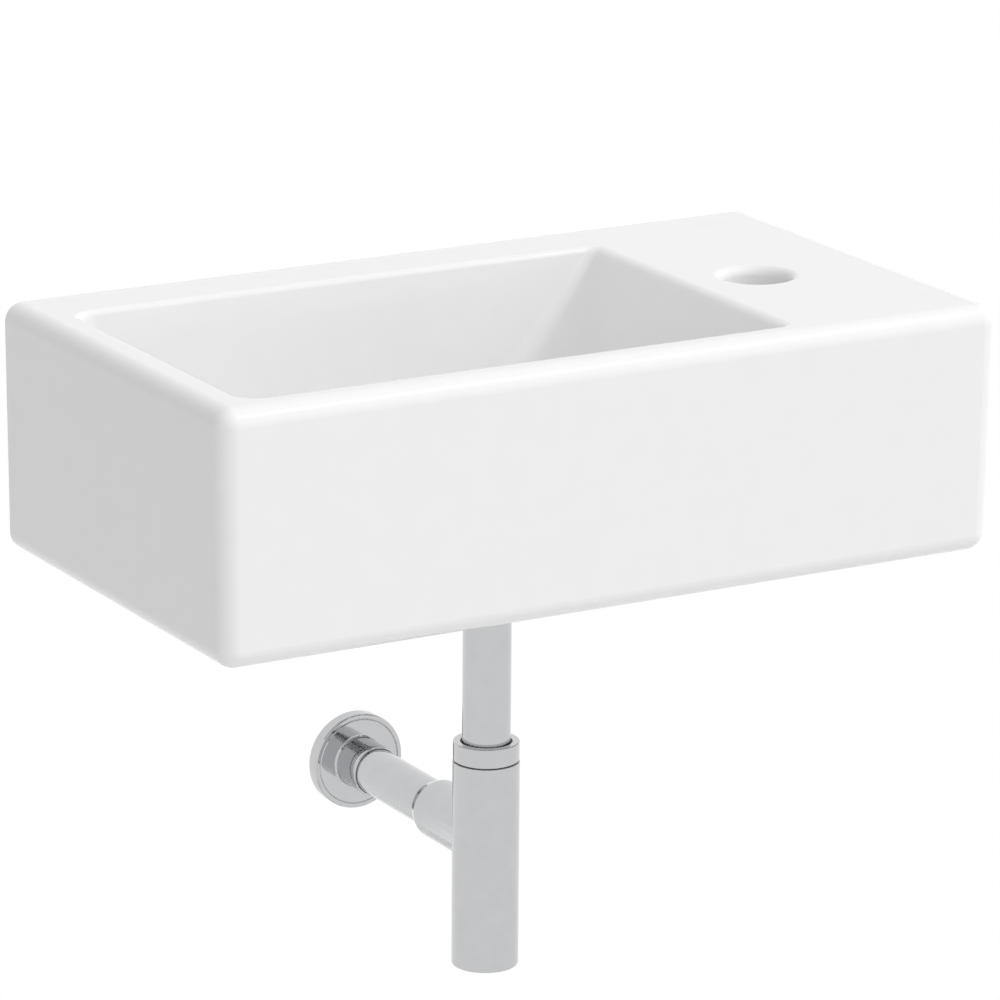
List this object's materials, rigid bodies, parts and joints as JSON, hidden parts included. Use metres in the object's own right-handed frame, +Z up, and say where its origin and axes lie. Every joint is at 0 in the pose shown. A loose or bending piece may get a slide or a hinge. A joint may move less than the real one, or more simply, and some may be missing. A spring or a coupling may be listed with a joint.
{
  "type": "wall hung basin",
  "caption": "Small rectangular wall hung basin with a sloping bowl side and a tap ledge on the right, push plug waste, chromed bottle trap, outlet pipe and wall flange.",
  "frame": {"origin": "on the wall plane, midway between the two wall fixings", "axes": "+X to the right along the wall, seen from the front, +Y into the wall, +Z up"},
  "size_m": [0.4498, 0.2929, 0.348],
  "materials": {
    "ceramic": "gloss white glaze",
    "chrome": "polished chrome plate on brass",
    "brass": "plain turned",
    "black_rubber": "matt",
    "white_foam": "matt soft foam",
    "white_plastic": "matt",
    "grey_plastic": "matt",
    "zinc": "bright zinc plate",
    "spring_steel": "drawn stainless wire"
  },
  "bodies": {
    "basin": {"basin_body": "ceramic", "waste_body": "chrome", "waste_top_seal": "white_foam", "waste_lower_seal": "black_rubber", "waste_slip_washer": "white_plastic", "waste_backnut": "brass", "plug_cartridge": "grey_plastic", "plug_spring": "spring_steel", "union_washer": "black_rubber", "inlet_tube": "chrome", "hanger_bolts": "zinc", "fixing_bushes": "white_plastic", "fixing_washers": "zinc", "fixing_nuts": "zinc"},
    "plug": {"plug_cap": "chrome", "plug_seal": "black_rubber", "plug_stem": "brass"},
    "union_ring": {"union_slip_ring": "white_plastic"},
    "union_nut": {"union_nut": "chrome"},
    "tube_seal": {"top_cone_seal": "black_rubber"},
    "trap": {"trap_body": "chrome", "outlet_rings": "black_rubber"},
    "top_ring": {"top_slip_ring": "white_plastic"},
    "top_nut": {"top_nut": "chrome"},
    "plug_ring": {"cleaning_ring": "black_rubber"},
    "cleaning_plug": {"cleaning_plug": "chrome"},
    "outlet_pipe": {"outlet_pipe": "chrome"},
    "wall_flange": {"wall_flange": "chrome", "flange_grip_ring": "black_rubber"}
  },
  "joints": [
    {"name": "plug_travel", "type": "slide", "parent": "basin", "child": "plug", "axis": [0, 0, 1], "range_m": [0, 0.009], "deforming": ["plug_spring"]},
    {"name": "union_lowering", "type": "slide", "parent": "basin", "child": "union_ring", "axis": [0, 0, -1], "range_m": [0, 0.00924]},
    {"name": "union_unscrew", "type": "hinge", "parent": "union_ring", "child": "union_nut", "pos_m": [-0.021, -0.146, -0.096], "axis": [0, 0, -1], "range_deg": [0, 1445]},
    {"name": "trap_height", "type": "slide", "parent": "basin", "child": "tube_seal", "axis": [0, 0, 1], "range_m": [-0.015, 0.015]},
    {"name": "trap_swivel", "type": "hinge", "parent": "tube_seal", "child": "trap", "pos_m": [-0.021, -0.146, -0.234], "axis": [0, 0, 1], "continuous": true},
    {"name": "top_ring_lift", "type": "slide", "parent": "trap", "child": "top_ring", "axis": [0, 0, 1], "range_m": [0, 0.006]},
    {"name": "top_nut_unscrew", "type": "hinge", "parent": "top_ring", "child": "top_nut", "pos_m": [-0.021, -0.146, -0.187], "axis": [0, 0, 1], "range_deg": [0, 1445]},
    {"name": "plug_ring_lowering", "type": "slide", "parent": "trap", "child": "plug_ring", "axis": [0, 0, -1], "range_m": [0, 0.009]},
    {"name": "cleaning_plug_unscrew", "type": "hinge", "parent": "plug_ring", "child": "cleaning_plug", "pos_m": [-0.021, -0.146, -0.3], "axis": [0, 0, -1], "range_deg": [0, 2165]},
    {"name": "outlet_pipe_slide", "type": "slide", "parent": "trap", "child": "outlet_pipe", "axis": [0, 1, 0], "range_m": [-0.01, 0.006]},
    {"name": "wall_flange_slide", "type": "slide", "parent": "outlet_pipe", "child": "wall_flange", "axis": [0, -1, 0], "range_m": [0, 0.05]}
  ],
  "couplings": [
    {"joint": "union_unscrew", "follows": "union_lowering", "rad_per_m": 2721.2},
    {"joint": "top_nut_unscrew", "follows": "top_ring_lift", "rad_per_m": 4188.8},
    {"joint": "cleaning_plug_unscrew", "follows": "plug_ring_lowering", "rad_per_m": 4188.8}
  ]
}
